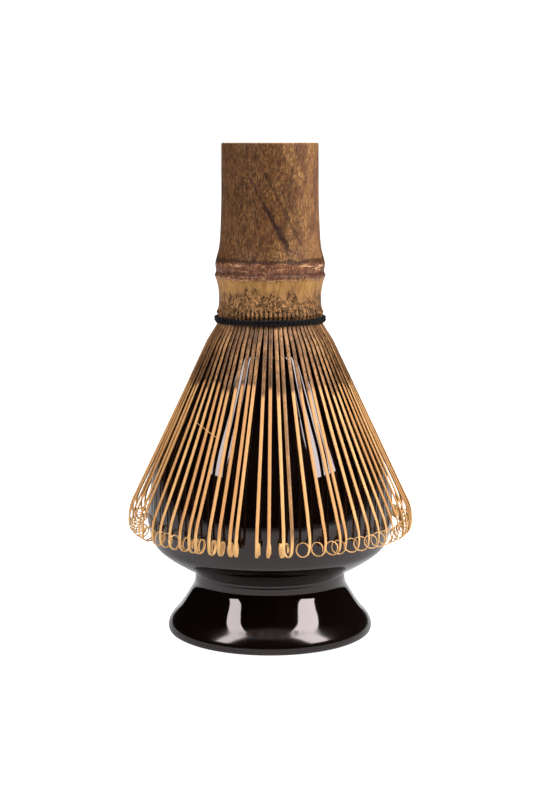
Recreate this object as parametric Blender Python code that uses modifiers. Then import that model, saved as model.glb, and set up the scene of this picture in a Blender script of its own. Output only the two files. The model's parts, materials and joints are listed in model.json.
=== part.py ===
"""Bamboo tea whisk standing on its glazed ceramic holder, in metres, +Z up.

The origin is the middle of the holder's foot, on the table. Azimuth 0 is the front (-Y) and grows
towards +X. The culm, its tines and its binding thread lift off the holder together, and every
group of outer tines springs outwards about its roots, just under the thread.
"""

import math

import bmesh
import bpy
from mathutils import Matrix, Vector

MM = 0.001
HALF_PI = math.pi / 2

# ---- clearances -----------------------------------------------------------------------------
GAP = 0.3 * MM  # between faces that meet
THREAD_GAP = 0.25 * MM  # between the binding thread and what it is wound on
SPLIT_WIDTH = 0.18 * MM  # between neighbouring tines, at the inner corners of their roots
ROOT_RING_GAP = 1.0 * MM  # between the roots of the outer and of the inner tines
LIP_GAP = 1.56 * MM  # between the holder's lip and the outer tines
BULB_GAP = 0.91 * MM  # between the holder's bulb and the curls around it
WELD = 0.001 * MM
NUDGE = 0.05 * MM  # keeps faces that a union joins out of one plane

# ---- heights: the whisk stands over the holder ----------------------------------------------
HOLDER_TOP_Z = 75.0 * MM
SLEEVE_RISE = 8.4 * MM  # from the holder's lip to where the culm stops and the tines start
NODE_RISE = 12.4 * MM  # from there to the middle of the node's two ridges
HANDLE_LENGTH = 32.2 * MM  # above the middle of the node
SLEEVE_END_Z = HOLDER_TOP_Z + SLEEVE_RISE
NODE_Z = SLEEVE_END_Z + NODE_RISE
HANDLE_TOP_Z = NODE_Z + HANDLE_LENGTH

# ---- culm: the handle tube, its node and the sleeve that the tines are split from -----------
HANDLE_RADIUS = 12.5 * MM
CULM_WALL = 2.9 * MM
RIM_BEVEL = 0.3 * MM
NODE_RIDGE_SPAN = 3.0 * MM
NODE_RIDGE_HEIGHT = 1.8 * MM  # how far the ridges stand out from the handle
NODE_GROOVE_DEPTH = 0.3 * MM
NODE_SWELL_LENGTH = 10.0 * MM  # how far above the node the culm starts to swell
SEPTUM_THICKNESS = 1.8 * MM
SLEEVE_SWELL = 0.75 * MM  # how much wider the sleeve is than the handle
SLEEVE_FLARE = 0.3 * MM  # how far the sleeve's end is forced open by the tines
SLEEVE_RADIUS = HANDLE_RADIUS + SLEEVE_SWELL
SLEEVE_END_RADIUS = SLEEVE_RADIUS + SLEEVE_FLARE

# ---- binding thread, two rounds over the joint between the sleeve and the tines --------------
THREAD_DIAMETER = 1.15 * MM
THREAD_ROUNDS = 2
THREAD_DEPTH = 0.85 * MM  # how far a round stands out from what it is wound on
THREAD_OVERLAP = 0.9 * MM  # how far the thread reaches up over the sleeve
THREAD_TOP_Z = SLEEVE_END_Z + THREAD_OVERLAP
THREAD_LOW_Z = THREAD_TOP_Z - THREAD_DIAMETER * THREAD_ROUNDS

# ---- outer tines, carved in groups ----------------------------------------------------------
OUTER_GROUPS = 18
PAIRS_PER_GROUP = 2
PAIR_OFFSET = math.radians(-1.5)  # azimuth of pair 0
ROOT_THICKNESS = 0.9 * MM
TIP_THICKNESS = 0.28 * MM
KICK_ABOVE_THREAD_END = 0.5 * MM  # how far inside the thread the tines start to bend out
KICK_ANGLE = math.radians(33.0)  # the tines are forced out hard just under the thread
KICK_RADIUS = 2.0 * MM
KICK_LENGTH = 4.1 * MM
FLARE_ANGLE = math.radians(25.5)
FLARE_RADIUS = 15.0 * MM
FLARE_LENGTH = 45.1 * MM
TURN_IN_ANGLE = math.radians(-5.0)
TURN_IN_RADIUS = 12.0 * MM
CURL_RADIUS = 1.95 * MM
CURL_SWEEP = math.radians(290.0)
HINGE_DROP = 0.8 * MM  # how far under the roots' top face the tines flex
OUTER_BAR_HEIGHT = 0.5 * MM  # the ring under the thread that joins the roots of a group
ROOT_TOP_Z = SLEEVE_END_Z - GAP
ROOT_RADIUS = SLEEVE_END_RADIUS - ROOT_THICKNESS / 2  # middle of the wall they are split from
ROOT_DROP = ROOT_TOP_Z - THREAD_LOW_Z - KICK_ABOVE_THREAD_END  # straight part above the bend
TINE_COUNT = OUTER_GROUPS * PAIRS_PER_GROUP * 2
TINE_WIDTH = (ROOT_RADIUS - ROOT_THICKNESS / 2) * math.tau / TINE_COUNT - SPLIT_WIDTH

# Lean of a pair's tips and half the angle between them, in degrees, where they differ from the
# even wobble of the rest: pairs that have been pushed aside or have drawn together in use.
PAIR_SWAY = {
    -5: (1.5, 2.6),
    -4: (2.2, 2.6),
    -3: (0.5, 1.4),
    -2: (-0.2, 2.0),
    -1: (-2.8, 1.15),
    0: (-1.3, 2.25),
    1: (-1.9, 1.55),
    2: (-0.2, 3.2),
    3: (0.5, 1.2),
    4: (0.4, 2.5),
    5: (1.0, 2.4),
}

# ---- inner tines, carved in fours -----------------------------------------------------------
INNER_GROUPS = 18
INNER_PER_GROUP = 4
INNER_SPLIT_WIDTH = 0.15 * MM  # between neighbours where they are gathered closest
INNER_ROOT_THICKNESS = 0.7 * MM
INNER_TIP_THICKNESS = 0.3 * MM
INNER_ROOT_DROP = 1.2 * MM
INNER_LEAN = math.radians(-14.0)  # in towards the axis
INNER_LEAN_RADIUS = 6.0 * MM
INNER_LEAN_LENGTH = 7.0 * MM
INNER_CORE_ANGLE = math.radians(-4.2)
INNER_CORE_RADIUS = 30.0 * MM
INNER_CORE_LENGTH = 27.0 * MM
INNER_BAR_HEIGHT = 0.6 * MM
INNER_ROOT_RADIUS = ROOT_RADIUS - (ROOT_THICKNESS + INNER_ROOT_THICKNESS) / 2 - ROOT_RING_GAP

# ---- holder ---------------------------------------------------------------------------------
HOLDER_WALL = 3.1 * MM
LIP_WALL = 3.8 * MM
BULB_RISE = 3.06 * MM  # the bulb's widest part, above the bottom of the curls around it
# The shoulder runs close under the tines: (share of the way down to the bulb, gap to the tines).
SHOULDER_GAPS = [(0.35, 0.87 * MM), (0.555, 0.62 * MM), (0.735, 1.86 * MM)]
WAIST_RADIUS = 19.8 * MM
WAIST_Z = 14.3 * MM
FOOT_RADIUS = 26.9 * MM
FOOT_RIM_Z = 1.6 * MM  # height of the widest part of the foot
FOOT_RING_WIDTH = 3.0 * MM

TURNED_STEPS = 28


# ---- drawing helpers ------------------------------------------------------------------------
def new_collection(name, hidden=False):
    collection = bpy.data.collections.new(name)
    bpy.context.scene.collection.children.link(collection)
    collection.hide_render = hidden
    return collection


def new_material(name, colour, roughness, metallic=0.0):
    material = bpy.data.materials.new(name)
    material.use_nodes = True
    shader = material.node_tree.nodes["Principled BSDF"]
    shader.inputs["Base Color"].default_value = (*colour, 1.0)
    shader.inputs["Roughness"].default_value = roughness
    shader.inputs["Metallic"].default_value = metallic
    return material


def spline_through(knots, steps):
    """Catmull-Rom curve through the knots, with steps points to each span."""
    ends = [knots[0] * 2 - knots[1], *knots, knots[-1] * 2 - knots[-2]]
    points = []
    for before, a, b, after in zip(ends, ends[1:], ends[2:], ends[3:]):
        for step in range(steps):
            t = step / steps
            points.append(
                0.5
                * (
                    2 * a
                    + (b - before) * t
                    + (2 * before - 5 * a + 4 * b - after) * t**2
                    + (3 * a - before - 3 * b + after) * t**3
                )
            )
    return [*points, knots[-1]]


def arc(centre, radius, start, end, steps):
    """Points of an arc in the (radius, height) plane, angles in degrees from the outward direction."""
    angles = [math.radians(start + (end - start) * i / steps) for i in range(steps + 1)]
    return [centre + Vector((math.cos(a), math.sin(a))) * radius for a in angles]


def turned(name, profile, closed, material, collection):
    """A turned piece from its (radius, height) profile, which runs down its outer side."""
    mesh = bpy.data.meshes.new(name)
    edges = [(i, i + 1) for i in range(len(profile) - 1)]
    if closed:
        edges.append((len(profile) - 1, 0))
    mesh.from_pydata([(r, 0.0, z) for r, z in profile], edges, [])
    piece = bpy.data.objects.new(name, mesh)
    collection.objects.link(piece)
    screw = piece.modifiers.new("turn", "SCREW")
    screw.steps = TURNED_STEPS
    screw.render_steps = TURNED_STEPS
    screw.use_merge_vertices = True
    screw.merge_threshold = 0.01 * MM
    screw.use_smooth_shade = True
    mesh.materials.append(material)
    return piece


def ribbon_outline(start, runs, thickness):
    """Outline of a tapering ribbon in the (radius, height) plane.

    It starts downwards at start. A run is (length, heading or None, radius, steps): straight where
    heading is None, otherwise an arc of that radius until the heading, an angle from straight down
    that is positive outwards. thickness is (at the start, at the end).
    """
    place, heading, travelled = Vector(start), 0.0, 0.0
    spine = [(place.copy(), heading, travelled)]
    for length, target, radius, steps in runs:
        turn = 0.0 if target is None else target - heading
        step_length = (abs(turn) * radius if turn else length) / steps
        for _ in range(steps):
            middle = heading + turn / steps / 2
            chord = step_length
            if turn:
                chord = 2 * radius * math.sin(abs(turn) / steps / 2)
            place += Vector((math.sin(middle), -math.cos(middle))) * chord
            heading += turn / steps
            travelled += step_length
            spine.append((place.copy(), heading, travelled))
    outer, inner = [], []
    for point, direction, distance in spine:
        share = distance / travelled
        half = (thickness[0] + (thickness[1] - thickness[0]) * share) / 2
        side = Vector((math.cos(direction), math.sin(direction))) * half
        outer.append(point + side)
        inner.append(point - side)
    return outer + inner[::-1]


def ribbon_mesh(name, outline, width, origin):
    """Mesh of an outline of the (radius, height) plane, width across. Local X is outwards."""
    mesh = solid_outline(name, [(r - origin[0], z - origin[1]) for r, z in outline], width)
    mesh.transform(Matrix.Rotation(HALF_PI, 4, "X"))
    return mesh


def weld(mesh):
    shape = bmesh.new()
    shape.from_mesh(mesh)
    bmesh.ops.remove_doubles(shape, verts=shape.verts, dist=WELD)
    bmesh.ops.recalc_face_normals(shape, faces=shape.faces)
    shape.to_mesh(mesh)
    shape.free()


def placed(azimuth, radius, height):
    """Matrix of a frame on the ring: local X outwards, local Y along the ring, local Z up."""
    position = Vector((math.sin(azimuth) * radius, -math.cos(azimuth) * radius, height))
    return Matrix.Translation(position) @ Matrix.Rotation(azimuth - HALF_PI, 4, "Z")


def solid_outline(name, outline, height):
    """Mesh of a flat closed outline of the XY plane, height thick, half above and half below."""
    curve = bpy.data.curves.new(name, "CURVE")
    curve.dimensions = "2D"
    curve.fill_mode = "BOTH"
    curve.extrude = height / 2
    spline = curve.splines.new("POLY")
    spline.points.add(len(outline) - 1)
    for point, (x, y) in zip(spline.points, outline):
        point.co = (x, y, 0.0, 1.0)
    spline.use_cyclic_u = True
    drawn = bpy.data.objects.new(name, curve)
    bpy.context.scene.collection.objects.link(drawn)
    bpy.context.view_layer.update()
    mesh = bpy.data.meshes.new_from_object(
        drawn.evaluated_get(bpy.context.evaluated_depsgraph_get())
    )
    bpy.data.objects.remove(drawn)
    weld(mesh)
    mesh.name = name
    return mesh


def root_bar(name, radius, roots, thickness, height, material, collection):
    """The piece of ring that joins the roots of a group of tines, its middle on local X.

    Its origin is on the ring, and roots are the azimuths of its tines from there.
    """
    outer = [(radius + thickness / 2, a) for a in roots]
    inner = [(radius - thickness / 2, a) for a in reversed(roots)]
    outline = [(r * math.cos(a) - radius, r * math.sin(a)) for r, a in outer + inner]
    mesh = solid_outline(name, outline, height)
    mesh.materials.append(material)
    bar = bpy.data.objects.new(name, mesh)
    collection.objects.link(bar)
    return bar


def join_tine(group, mesh, matrix, helpers):
    """Unites a tine with its group's root bar. The tine itself stays a hidden helper."""
    tine = bpy.data.objects.new(f"{group.name}_tine", mesh)
    helpers.objects.link(tine)
    tine.matrix_world = matrix
    tine.hide_render = True
    tine.display_type = "WIRE"
    union = group.modifiers.new("join", "BOOLEAN")
    union.operation = "UNION"
    union.solver = "EXACT"
    union.object = tine


# ---- pieces ---------------------------------------------------------------------------------
def handle(material, collection):
    """Culm from the cut top to the sleeve: a tube with a solid septum inside its node."""
    ridge = NODE_RIDGE_SPAN / 2
    ridge_radius = HANDLE_RADIUS + NODE_RIDGE_HEIGHT
    outside = spline_through(
        [
            Vector((HANDLE_RADIUS, HANDLE_TOP_Z - RIM_BEVEL)),
            Vector((HANDLE_RADIUS + 0.1 * MM, NODE_Z + NODE_SWELL_LENGTH * 1.6)),
            Vector((HANDLE_RADIUS + 0.35 * MM, NODE_Z + NODE_SWELL_LENGTH * 0.9)),
            Vector((HANDLE_RADIUS + NODE_RIDGE_HEIGHT * 0.6, NODE_Z + ridge * 2.2)),
            Vector((ridge_radius - 0.1 * MM, NODE_Z + ridge)),
            Vector((ridge_radius - NODE_GROOVE_DEPTH, NODE_Z)),
            Vector((ridge_radius + 0.1 * MM, NODE_Z - ridge)),
            Vector((SLEEVE_RADIUS + 0.6 * MM, NODE_Z - ridge - 1.1 * MM)),
            Vector((SLEEVE_RADIUS + 0.1 * MM, NODE_Z - ridge - 4.0 * MM)),
            Vector((SLEEVE_RADIUS, (NODE_Z + SLEEVE_END_Z) / 2 - 1.5 * MM)),
            Vector((SLEEVE_END_RADIUS, SLEEVE_END_Z)),
        ],
        2,
    )
    bore = HANDLE_RADIUS - CULM_WALL
    sleeve_bore = SLEEVE_RADIUS - CULM_WALL
    septum_top = NODE_Z + SEPTUM_THICKNESS / 2
    septum_foot = NODE_Z - SEPTUM_THICKNESS / 2
    profile = [
        Vector((0.0, septum_top)),
        Vector((bore * 0.8, septum_top)),
        Vector((bore, septum_top + bore * 0.2)),
        Vector((bore, HANDLE_TOP_Z - RIM_BEVEL)),
        Vector((bore + RIM_BEVEL, HANDLE_TOP_Z)),
        Vector((HANDLE_RADIUS - RIM_BEVEL, HANDLE_TOP_Z)),
        *outside,
        Vector((sleeve_bore, SLEEVE_END_Z)),
        Vector((sleeve_bore, septum_foot - bore * 0.2)),
        Vector((sleeve_bore * 0.8, septum_foot)),
        Vector((0.0, septum_foot)),
    ]
    return turned("handle", profile, False, material, collection)


def under_tines(height):
    """Radius of the outer tines' inner side at a height on their long straight part."""
    outline = outer_outline()
    inner = outline[: len(outline) // 2 - 1 : -1]
    for (r, z), (next_r, next_z) in zip(inner, inner[1:]):
        if z >= height > next_z:
            return r + (next_r - r) * (z - height) / (z - next_z)
    return inner[-1][0]


def holder_outside(lip_radius):
    """Outer side of the holder from the lip to the foot's widest part, all inside the tines."""
    curls_low = min(z for _, z in outer_outline())
    bulb_z = curls_low + BULB_RISE
    curls_inside = min(r for r, z in outer_outline() if z < bulb_z)
    bulb_radius = curls_inside - BULB_GAP
    neck = HOLDER_TOP_Z - bulb_z
    shoulder = []
    for share, gap in SHOULDER_GAPS:
        height = HOLDER_TOP_Z - neck * share
        shoulder.append(Vector((under_tines(height) - gap, height)))
    under = bulb_radius - WAIST_RADIUS
    rise = bulb_z - WAIST_Z
    flare = FOOT_RADIUS - WAIST_RADIUS
    drop = WAIST_Z - FOOT_RIM_Z
    return spline_through(
        [
            Vector((lip_radius + 0.45 * MM, HOLDER_TOP_Z - 1.0 * MM)),
            *shoulder,
            Vector((bulb_radius, bulb_z)),
            Vector((WAIST_RADIUS + under * 0.70, WAIST_Z + rise * 0.47)),
            Vector((WAIST_RADIUS + under * 0.31, WAIST_Z + rise * 0.27)),
            Vector((WAIST_RADIUS + under * 0.01, WAIST_Z + rise * 0.12)),
            Vector((WAIST_RADIUS + flare * 0.14, WAIST_Z - drop * 0.24)),
            Vector((WAIST_RADIUS + flare * 0.56, WAIST_Z - drop * 0.58)),
            Vector((WAIST_RADIUS + flare * 0.93, WAIST_Z - drop * 0.86)),
            Vector((FOOT_RADIUS, FOOT_RIM_Z)),
        ],
        2,
    )


def inset(profile, wall):
    """The profile moved inwards by the wall, square to its own direction."""
    moved = []
    for before, point, after in zip(profile, profile[1:], profile[2:]):
        along = (after - before).normalized()
        moved.append(point + Vector((along.y, -along.x)) * wall)
    return moved


def whisk_holder(material, collection):
    """Hollow-cast holder, open at its mouth and under its foot."""
    lip_radius = under_tines(HOLDER_TOP_Z) - LIP_GAP
    mouth_radius = lip_radius - LIP_WALL
    outside = holder_outside(lip_radius)
    inside = inset(outside, HOLDER_WALL)[1:-2]
    ring_outer = FOOT_RADIUS - FOOT_RIM_Z
    ring_inner = ring_outer - FOOT_RING_WIDTH
    lip = (mouth_radius + lip_radius) / 2
    profile = [
        Vector((lip, HOLDER_TOP_Z)),
        Vector((lip_radius - 0.5 * MM, HOLDER_TOP_Z)),
        Vector((lip_radius + 0.15 * MM, HOLDER_TOP_Z - 0.35 * MM)),
        *outside,
        Vector((FOOT_RADIUS - FOOT_RIM_Z * 0.3, FOOT_RIM_Z * 0.3)),
        Vector((ring_outer, 0.0)),
        Vector((ring_inner, 0.0)),
        Vector((ring_inner - 0.4 * MM, 0.8 * MM)),
        *inside[::-1],
        Vector((mouth_radius, HOLDER_TOP_Z - 2.6 * MM)),
        Vector((mouth_radius, HOLDER_TOP_Z - 0.9 * MM)),
        Vector((mouth_radius + 0.5 * MM, HOLDER_TOP_Z - 0.2 * MM)),
    ]
    return turned("whisk_holder", profile, True, material, collection)


def binding_thread(material, collection):
    """The rounds of thread as one ring, its outer side an arc for each round."""
    inner = SLEEVE_END_RADIUS + THREAD_GAP
    face = inner + THREAD_DEPTH - THREAD_DIAMETER / 2
    profile = [Vector((inner, THREAD_TOP_Z - THREAD_DIAMETER * 0.3))]
    for number in range(THREAD_ROUNDS):
        middle = Vector((face, THREAD_TOP_Z - THREAD_DIAMETER * (number + 0.5)))
        start = 110.0 if number == 0 else 60.0
        end = -110.0 if number == THREAD_ROUNDS - 1 else -60.0
        profile += arc(middle, THREAD_DIAMETER / 2, start, end, 4)
    foot = THREAD_TOP_Z - THREAD_DIAMETER * (THREAD_ROUNDS - 0.3)
    profile.append(Vector((inner, foot)))
    return turned("binding_thread", profile, True, material, collection)


def wobble(number):
    """An uneven but repeatable value from -1 to 1 for a numbered piece."""
    return math.sin(number * 2.399) * math.cos(number * 1.117 + 0.4)


def pair_sway(index):
    """(lean of a pair's tips, half the angle between them), in radians of azimuth."""
    lean, half = PAIR_SWAY.get(
        index, (0.6 * wobble(index), 1.9 + 0.5 * wobble(index + 50))
    )
    return math.radians(lean), math.radians(half)


def outer_outline():
    top = (ROOT_RADIUS, ROOT_TOP_Z)
    runs = [
        (ROOT_DROP, None, 0.0, 1),
        (0.0, KICK_ANGLE, KICK_RADIUS, 1),
        (KICK_LENGTH, None, 0.0, 1),
        (0.0, FLARE_ANGLE, FLARE_RADIUS, 1),
        (FLARE_LENGTH, None, 0.0, 1),
        (0.0, TURN_IN_ANGLE, TURN_IN_RADIUS, 2),
        (0.0, TURN_IN_ANGLE - CURL_SWEEP, CURL_RADIUS, 6),
    ]
    return ribbon_outline(top, runs, (ROOT_THICKNESS, TIP_THICKNESS))


def outer_tines(material, collection, helpers):
    """The outer tines in groups. A group's origin is on the line about which it flexes."""
    hinge = (ROOT_RADIUS, ROOT_TOP_Z - HINGE_DROP)
    outline = outer_outline()
    tip_radius = max(r for r, _ in outline)
    length = hinge[1] - min(z for _, z in outline)
    tine = ribbon_mesh("outer_tine", outline, TINE_WIDTH, hinge)
    bar_level = HINGE_DROP - NUDGE - OUTER_BAR_HEIGHT / 2
    pitch = math.tau / (OUTER_GROUPS * PAIRS_PER_GROUP)
    for number in range(OUTER_GROUPS):
        first = ((number + OUTER_GROUPS // 2) % OUTER_GROUPS - OUTER_GROUPS // 2) * PAIRS_PER_GROUP
        middle = PAIR_OFFSET + (first + (PAIRS_PER_GROUP - 1) / 2) * pitch
        tines = []
        for index in range(first, first + PAIRS_PER_GROUP):
            lean, half = pair_sway(index)
            for side in (-1, 1):
                root = side * pitch / 4
                azimuth = PAIR_OFFSET + index * pitch
                sideways = tip_radius * math.sin(lean + side * half - root) / length
                tines.append((azimuth + root, math.asin(sideways)))
        group = root_bar(
            f"outer_tines_{number + 1:02d}",
            ROOT_RADIUS,
            [azimuth - middle for azimuth, _ in tines],
            ROOT_THICKNESS - 2 * NUDGE,
            OUTER_BAR_HEIGHT,
            material,
            collection,
        )
        group.data.transform(Matrix.Translation((0.0, 0.0, bar_level)))
        group.matrix_world = placed(middle, *hinge)
        for azimuth, tilt in tines:
            matrix = placed(azimuth, *hinge) @ Matrix.Rotation(tilt, 4, "X")
            join_tine(group, tine, matrix, helpers)


def inner_tines(material, collection, helpers):
    """The thin inner tines, gathered towards the axis, in groups on a short piece of ring."""
    runs = [
        (INNER_ROOT_DROP, None, 0.0, 1),
        (0.0, INNER_LEAN, INNER_LEAN_RADIUS, 1),
        (INNER_LEAN_LENGTH, None, 0.0, 1),
        (0.0, INNER_CORE_ANGLE, INNER_CORE_RADIUS, 1),
        (INNER_CORE_LENGTH, None, 0.0, 1),
    ]
    root = (INNER_ROOT_RADIUS, ROOT_TOP_Z)
    outline = ribbon_outline(root, runs, (INNER_ROOT_THICKNESS, INNER_TIP_THICKNESS))
    pitch = math.tau / INNER_GROUPS
    between = pitch / INNER_PER_GROUP
    width = min(r for r, _ in outline) * between - INNER_SPLIT_WIDTH
    tine = ribbon_mesh("inner_tine", outline, width, root)
    bar_level = ROOT_TOP_Z - NUDGE - INNER_BAR_HEIGHT / 2
    turns = [(place - (INNER_PER_GROUP - 1) / 2) * between for place in range(INNER_PER_GROUP)]
    for number in range(INNER_GROUPS):
        azimuth = number * pitch
        group = root_bar(
            f"inner_tines_{number + 1:02d}",
            INNER_ROOT_RADIUS,
            turns,
            INNER_ROOT_THICKNESS - 2 * NUDGE,
            INNER_BAR_HEIGHT,
            material,
            collection,
        )
        group.matrix_world = placed(azimuth, INNER_ROOT_RADIUS, bar_level)
        for turn in turns:
            join_tine(group, tine, placed(azimuth + turn, *root), helpers)


def main():
    for leftover in list(bpy.data.objects):
        bpy.data.objects.remove(leftover)
    whisk = new_collection("bamboo_tea_whisk")
    helpers = new_collection("joined_tines", hidden=True)

    bark = new_material("smoked_bamboo_skin", (0.16, 0.085, 0.04), 0.45)
    shaved = new_material("shaved_bamboo", (0.62, 0.38, 0.16), 0.5)
    cotton = new_material("black_cotton", (0.012, 0.010, 0.010), 0.85)
    glaze = new_material("black_glaze", (0.010, 0.005, 0.004), 0.06)

    whisk_holder(glaze, whisk)
    handle(bark, whisk)
    binding_thread(cotton, whisk)
    outer_tines(shaved, whisk, helpers)
    inner_tines(shaved, whisk, helpers)


main()
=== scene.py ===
"""Bamboo tea whisk on its glazed holder: the visible pieces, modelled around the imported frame.

The frame's origin is the middle of the holder's foot, +Z up, in metres. Azimuth 0 is the front (-Y)
and grows towards +X. Each group of outer tines rides on its own sprung body, the culm, the thread
and the inner tines ride on the whisk, and the holder stays where it stands.
"""

import json
import math
import random

import bmesh
import bpy
import numpy as np
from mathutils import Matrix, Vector


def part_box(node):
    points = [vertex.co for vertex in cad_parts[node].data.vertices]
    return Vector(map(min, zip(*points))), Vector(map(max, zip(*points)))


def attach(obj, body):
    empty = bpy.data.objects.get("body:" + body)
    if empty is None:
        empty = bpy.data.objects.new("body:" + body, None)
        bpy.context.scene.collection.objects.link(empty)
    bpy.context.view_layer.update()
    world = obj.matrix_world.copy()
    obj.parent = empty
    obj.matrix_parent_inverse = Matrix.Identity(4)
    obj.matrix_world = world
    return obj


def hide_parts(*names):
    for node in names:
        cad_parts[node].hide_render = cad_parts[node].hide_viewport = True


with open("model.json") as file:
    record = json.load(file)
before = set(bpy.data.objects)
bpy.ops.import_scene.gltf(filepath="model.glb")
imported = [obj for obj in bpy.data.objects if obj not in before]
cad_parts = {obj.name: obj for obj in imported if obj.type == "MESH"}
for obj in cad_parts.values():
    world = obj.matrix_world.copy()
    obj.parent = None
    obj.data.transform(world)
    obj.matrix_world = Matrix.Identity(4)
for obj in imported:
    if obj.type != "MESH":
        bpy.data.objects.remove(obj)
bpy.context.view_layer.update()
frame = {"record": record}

MM = 0.001
dice = random.Random(17)

# ---- places taken from the frame ------------------------------------------------------------
CULM_LOW, CULM_TOP = (corner[2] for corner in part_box("handle"))
THREAD_LOW, THREAD_TOP = (corner[2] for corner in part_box("binding_thread"))
THREAD_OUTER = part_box("binding_thread")[1][0]
HOLDER_TOP_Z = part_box("whisk_holder")[1][2]
JOINTS = {joint["child"]: joint for joint in frame["record"]["behaviour"]["joints"]}
ROOT_RADIUS = math.hypot(*JOINTS["outer_tines_01"]["pos_m"][:2])
HINGE_Z = JOINTS["outer_tines_01"]["pos_m"][2]
ROOT_TOP_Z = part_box("outer_tines_01")[1][2]

# ---- holder ---------------------------------------------------------------------------------
HOLDER_WALL = 3.1 * MM
BARE_FOOT = (0.6 * MM, 0.2 * MM)  # the glaze is wiped off the ring that it stands on
HANDLED_FOOT = (6.8 * MM, 4.8 * MM)  # and is a little dulled below here, where it is held

# ---- culm -----------------------------------------------------------------------------------
CULM_STEPS = 288  # four to a tine, so that each split between two tines can be cut
CULM_RADIUS = 12.5 * MM
CULM_WALL = 2.9 * MM
NODE_Z = 95.8 * MM
SEPTUM_THICKNESS = 1.8 * MM
SPLIT_HEIGHT = 3.2 * MM  # how far the splits between the tines run up into the culm
SPLIT_DEPTH = 0.8 * MM
# Marks on the skin: (lowest, highest, the height over which each end fades).
RUDDY_NODE = (93.6 * MM, 97.6 * MM, 0.7 * MM)
# The band on the node's upper ridge where pale highlights are painted in.
RIDGE_HIGHLIGHT = (96.2 * MM, 97.2 * MM, 0.4 * MM)
PALE_EDGE = (93.7 * MM, 93.82 * MM, 0.25 * MM)
LINE_OVER_NODE = (98.1 * MM, 98.6 * MM, 0.5 * MM)
LINE_IN_NODE = (94.9 * MM, 95.2 * MM, 0.5 * MM)
TAN_TOP = (93.8 * MM, 93.0 * MM)
DUSKY_TOP = (98.2 * MM, 94.5 * MM)  # before the ragged edge, up to 11 mm, is taken off
RAGGED = 11.0 * MM
STREAK_FADE = 2.2 * MM
SMOKE_STREAKS = [  # (x and z of the top, lean, half the width, lowest, highest, strength)
    ((-1.4 * MM, 112.8 * MM), 0.52, 1.0 * MM, 102.0 * MM, 111.5 * MM, 1.0),
    ((-5.8 * MM, 120.5 * MM), 0.56, 0.6 * MM, 112.5 * MM, 119.0 * MM, 0.7),
    ((-1.6 * MM, 121.5 * MM), 0.50, 0.6 * MM, 103.0 * MM, 120.0 * MM, 0.6),
]

# ---- outer tines ----------------------------------------------------------------------------
GROUPS = 18
PAIRS_PER_GROUP = 2
PAIR_PITCH = math.tau / (GROUPS * PAIRS_PER_GROUP)
PAIR_OFFSET = math.radians(-1.5)
SKIN_END_Z = 67.1 * MM  # the brown skin is shaved off the tines below this
SKIN_SLANT = 1.1 * MM  # how much lower the shaving starts on the right
SMOKED_FADE = (-3.0 * MM, 4.0 * MM)  # the wood darkens by smoke from below that line to above it
PALE_AND_LIT_CURLS = (34.5 * MM, 31.5 * MM)  # the curls are painted paler than the tines above them: partly their paler wood, partly painted light that lifts the shade on their faces
TINE_RINGS = 74
EDGE_ROUND = 0.07 * MM  # rounding along a tine's long edges
CURL_RADIUS = 2.0 * MM
CURL_SWEEP = math.radians(395.0)
CURL_TIGHTENING = 0.42 * MM  # how much smaller a curl's radius is at its tip
CURL_DRIFT = (0.1 * MM, 0.85 * MM)  # sideways, so that a tip passes beside its own start
TINE_RUNS = [  # (straight length, heading at the end, radius of the bend)
    (0.6 * MM, 0.0, 0.0),
    (0.0, 33.0, 2.0 * MM),
    (4.1 * MM, 33.0, 0.0),
    (0.0, 25.5, 15.0 * MM),
    (45.1 * MM, 25.5, 0.0),
    (0.0, -5.0, 12.0 * MM),
]
TINE_SECTIONS = [  # (share of the length, width, thickness)
    (0.0, 0.92 * MM, 0.90 * MM),
    (0.05, 0.92 * MM, 0.62 * MM),
    (0.30, 0.84 * MM, 0.44 * MM),
    (0.76, 0.80 * MM, 0.34 * MM),
    (0.84, 0.76 * MM, 0.24 * MM),
    (1.0, 0.66 * MM, 0.17 * MM),
]
SKIN_UNEVEN = 1.3 * MM  # how far one tine's shaving starts above or below the line
SKIN_EDGE = 0.25 * MM
SHADED_SIDES = (54.0 * MM, 71.0 * MM)  # painted shade: a tine's inner side is painted darker between these heights, for the shade in the gaps between tines
TINE_BOW = 0.16 * MM
TWIST_PIVOT = 3.0 * MM  # above a curl, where it is turned aside
TWIST_RUN = (9.0 * MM, 2.5 * MM)  # from this far above the curl to this far into it
SHOWN_LOOPS = (9.0, 14.0)  # azimuths in degrees past which the curls are turned to show their loops
LOOP_TWIST = (-2.0, -40.0, 3.0)  # degrees: everywhere, added past there, and either way by chance
WHOLE_SKIN_TINE = (1, 1)  # the one that keeps its skin almost to the tip: (pair, side)
# Lean of a pair's tips and half the angle between them, in degrees, where they differ from the
# even wobble of the rest: pairs that have been pushed aside or have drawn together in use.
PAIR_SWAY = {
    -5: (1.5, 2.6),
    -4: (2.2, 2.6),
    -3: (0.5, 1.4),
    -2: (-0.2, 2.0),
    -1: (-2.8, 1.15),
    0: (-1.3, 2.25),
    1: (-1.9, 1.55),
    2: (-0.2, 3.2),
    3: (0.5, 1.2),
    4: (0.4, 2.5),
    5: (1.0, 2.4),
}

# ---- inner tines ----------------------------------------------------------------------------
INNER_PER_GROUP = 4
INNER_RADIUS = 11.3 * MM
INNER_RINGS = 22
INNER_RUNS = [
    (1.2 * MM, 0.0, 0.0),
    (0.0, -14.0, 6.0 * MM),
    (7.0 * MM, -14.0, 0.0),
    (0.0, -4.2, 30.0 * MM),
    (27.0 * MM, -4.2, 0.0),
]
INNER_SECTIONS = [
    (0.0, 0.42 * MM, 0.70 * MM),
    (0.3, 0.42 * MM, 0.46 * MM),
    (1.0, 0.30 * MM, 0.24 * MM),
]

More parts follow.
